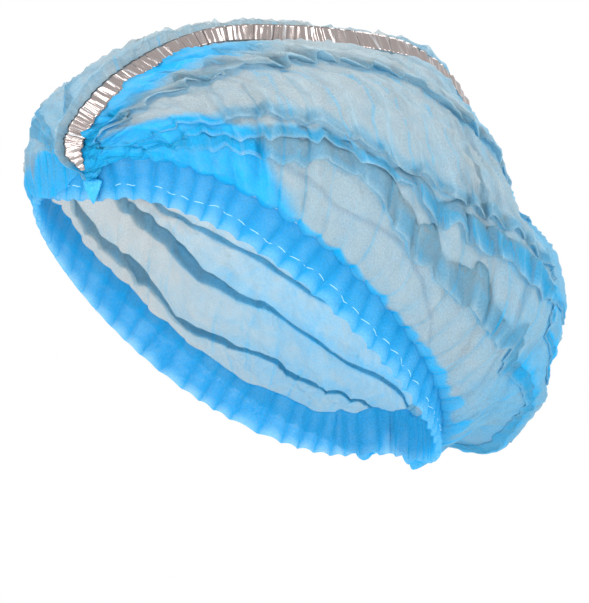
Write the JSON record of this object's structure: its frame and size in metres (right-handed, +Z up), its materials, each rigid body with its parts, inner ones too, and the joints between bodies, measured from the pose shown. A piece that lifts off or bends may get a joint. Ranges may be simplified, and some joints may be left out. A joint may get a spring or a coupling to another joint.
{
  "type": "disposable hairnet",
  "caption": "Pleated clip cap of thin blue nonwoven cloth with gathered elastic hems and a foil detection strip along its middle fold, in the shape it has on a head.",
  "frame": {"origin": "centre of the head opening, half way between the forehead and the nape and between the temples, where the head sits", "axes": "+Z up with the wearer's head upright, the wearer faces -Y, and the wearer's left is +X"},
  "size_m": [0.2152, 0.2672, 0.2028],
  "materials": {
    "nonwoven": "thin translucent spunbond polypropylene, matt",
    "hem_cloth": "doubled and gathered spunbond polypropylene over elastic, matt",
    "foil": "crinkled thin foil, bright",
    "weld": "many layers of the same cloth pressed and welded hard, half gloss",
    "thread": "fine pale sewing thread"
  },
  "bodies": {
    "root": {"crown": "nonwoven", "hem_left": "hem_cloth", "hem_right": "hem_cloth", "foil_strip": "foil", "front_weld": "weld", "back_weld": "weld"}
  },
  "joints": []
}
